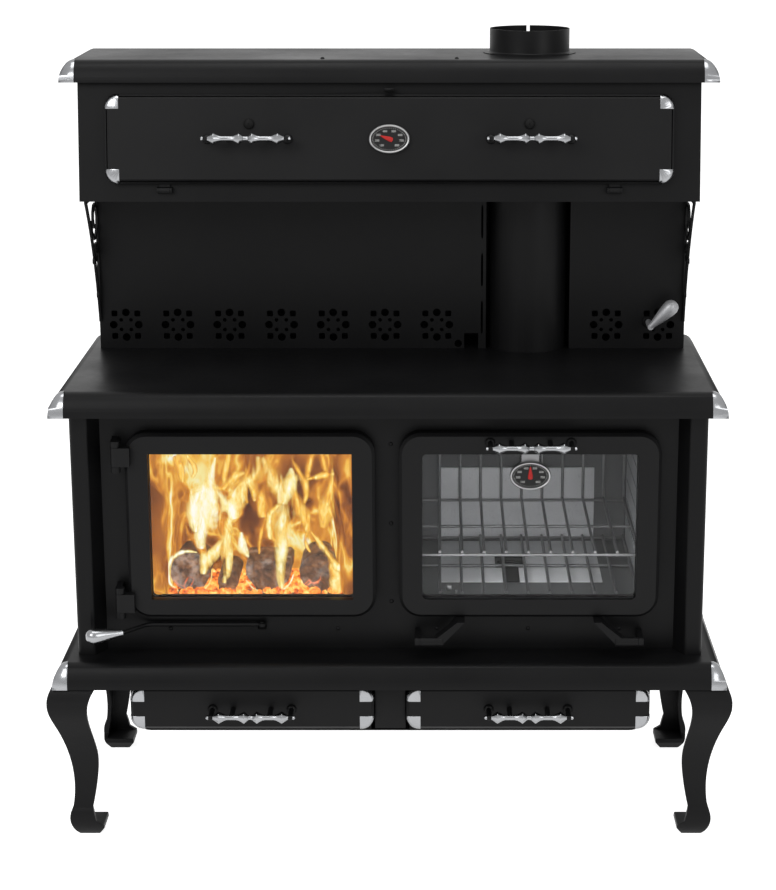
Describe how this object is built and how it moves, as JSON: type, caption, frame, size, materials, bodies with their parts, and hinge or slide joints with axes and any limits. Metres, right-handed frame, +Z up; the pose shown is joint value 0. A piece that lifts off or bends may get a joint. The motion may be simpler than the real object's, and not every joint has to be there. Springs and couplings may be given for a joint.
{
  "type": "wood cookstove",
  "caption": "Free-standing wood cookstove on cabriole legs: glazed firebox and oven doors, drawers below, and a warming closet above the cooktop with a round flue collar.",
  "frame": {"origin": "on the floor, under the middle of the stove's bounding box", "axes": "+Z up, +X to the right seen from the front, +Y to the back, so the doors face -Y"},
  "size_m": [1.294, 0.559, 1.507],
  "materials": {
    "black_steel": "satin black",
    "black_cast": "satin black over cast grain",
    "chrome": "polished",
    "glass": "clear heat-resistant",
    "bare_steel": "bare, heat-dulled",
    "rope_gasket": "braided glass fibre",
    "firebrick": "rough, pressed",
    "logs": "bark and split grain",
    "dial_case": "satin rim around a black dial",
    "pointer_red": "red enamel"
  },
  "bodies": {
    "stove": {"baffle_plate": "firebrick", "base_shelf": "black_steel", "closet_box": "black_steel", "closet_cover": "black_steel", "closet_hinge_brackets": "black_steel", "cooktop": "black_steel", "cooktop_corner_caps": "chrome", "cover_corner_caps": "chrome", "drawer_housing": "black_steel", "fire_grate": "black_cast", "firebox_hinge_brackets": "black_steel", "firebox_shell": "black_cast", "firebricks": "firebrick", "firewood": "logs", "flue_collar": "black_steel", "flue_pipe": "black_steel", "front_plate": "black_steel", "left_scroll_bracket": "black_steel", "left_side_panel": "black_steel", "leg_bolts": "bare_steel", "leg_front_left": "black_cast", "leg_front_right": "black_cast", "leg_rear_left": "black_cast", "leg_rear_right": "black_cast", "oven_box": "bare_steel", "oven_hinge_brackets": "black_steel", "oven_racks": "bare_steel", "rear_panel": "black_steel", "rear_shield": "black_steel", "right_scroll_bracket": "black_steel", "right_side_panel": "black_steel", "shelf_corner_caps": "chrome", "splash_left": "black_steel", "splash_right": "black_steel"},
    "firebox_door": {"firebox_door_frame": "black_steel", "firebox_door_glass": "glass", "firebox_glass_retainer": "bare_steel", "firebox_door_gasket": "rope_gasket"},
    "oven_door": {"oven_door_frame": "black_steel", "oven_door_glass": "glass", "oven_glass_retainer": "bare_steel", "oven_door_gasket": "rope_gasket", "oven_handle_grip": "chrome", "oven_thermometer": "dial_case", "oven_hinge_arms": "black_steel"},
    "oven_dial_pointer": {"oven_thermometer_pointer": "pointer_red"},
    "closet_drop_door": {"closet_door": "black_steel", "closet_door_corners": "chrome", "closet_handle_grips": "chrome", "closet_thermometer": "dial_case"},
    "closet_dial_pointer": {"closet_thermometer_pointer": "pointer_red"},
    "left_drawer_body": {"left_drawer": "black_steel", "left_drawer_corners": "chrome", "left_drawer_grip": "chrome"},
    "right_drawer_body": {"right_drawer": "black_steel", "right_drawer_corners": "chrome", "right_drawer_grip": "chrome"},
    "air_lever_body": {"air_lever": "chrome"},
    "flue_damper": {"flue_damper_handle": "chrome"},
    "side_pull_body": {"side_pull": "chrome"}
  },
  "joints": [
    {"name": "firebox_door_hinge", "type": "hinge", "parent": "stove", "child": "firebox_door", "pos_m": [-0.509, -0.2135, 0.6125], "axis": [0, 0, -1], "range_deg": [0, 120]},
    {"name": "oven_door_hinge", "type": "hinge", "parent": "stove", "child": "oven_door", "pos_m": [0.264, -0.2325, 0.392], "axis": [1, 0, 0], "range_deg": [0, 90]},
    {"name": "oven_dial_spindle", "type": "hinge", "parent": "oven_door", "child": "oven_dial_pointer", "pos_m": [0.264, -0.209, 0.71175], "axis": [0, 1, 0], "range_deg": [-120, 120], "stiffness_Nm_per_rad": 0.005},
    {"name": "closet_door_hinge", "type": "hinge", "parent": "stove", "child": "closet_drop_door", "pos_m": [0, -0.01477, 1.21899], "axis": [1, 0, 0], "range_deg": [0, 98]},
    {"name": "closet_dial_spindle", "type": "hinge", "parent": "closet_drop_door", "child": "closet_dial_pointer", "pos_m": [0, -0.02095, 1.31636], "axis": [0, 0.9898, -0.1426], "range_deg": [-50, 190], "stiffness_Nm_per_rad": 0.005},
    {"name": "left_drawer_slide", "type": "slide", "parent": "stove", "child": "left_drawer_body", "axis": [0, -1, 0], "range_m": [0, 0.3]},
    {"name": "right_drawer_slide", "type": "slide", "parent": "stove", "child": "right_drawer_body", "axis": [0, -1, 0], "range_m": [0, 0.3]},
    {"name": "air_lever_swing", "type": "hinge", "parent": "stove", "child": "air_lever_body", "pos_m": [-0.244, -0.1895, 0.412], "axis": [0, 0, 1], "range_deg": [0, 40]},
    {"name": "flue_damper_turn", "type": "hinge", "parent": "stove", "child": "flue_damper", "pos_m": [0.511, 0.1455, 0.932], "axis": [0, -1, 0], "range_deg": [0, 90]},
    {"name": "side_pull_slide", "type": "slide", "parent": "stove", "child": "side_pull_body", "axis": [-1, 0, 0], "range_m": [0, 0.06]}
  ]
}
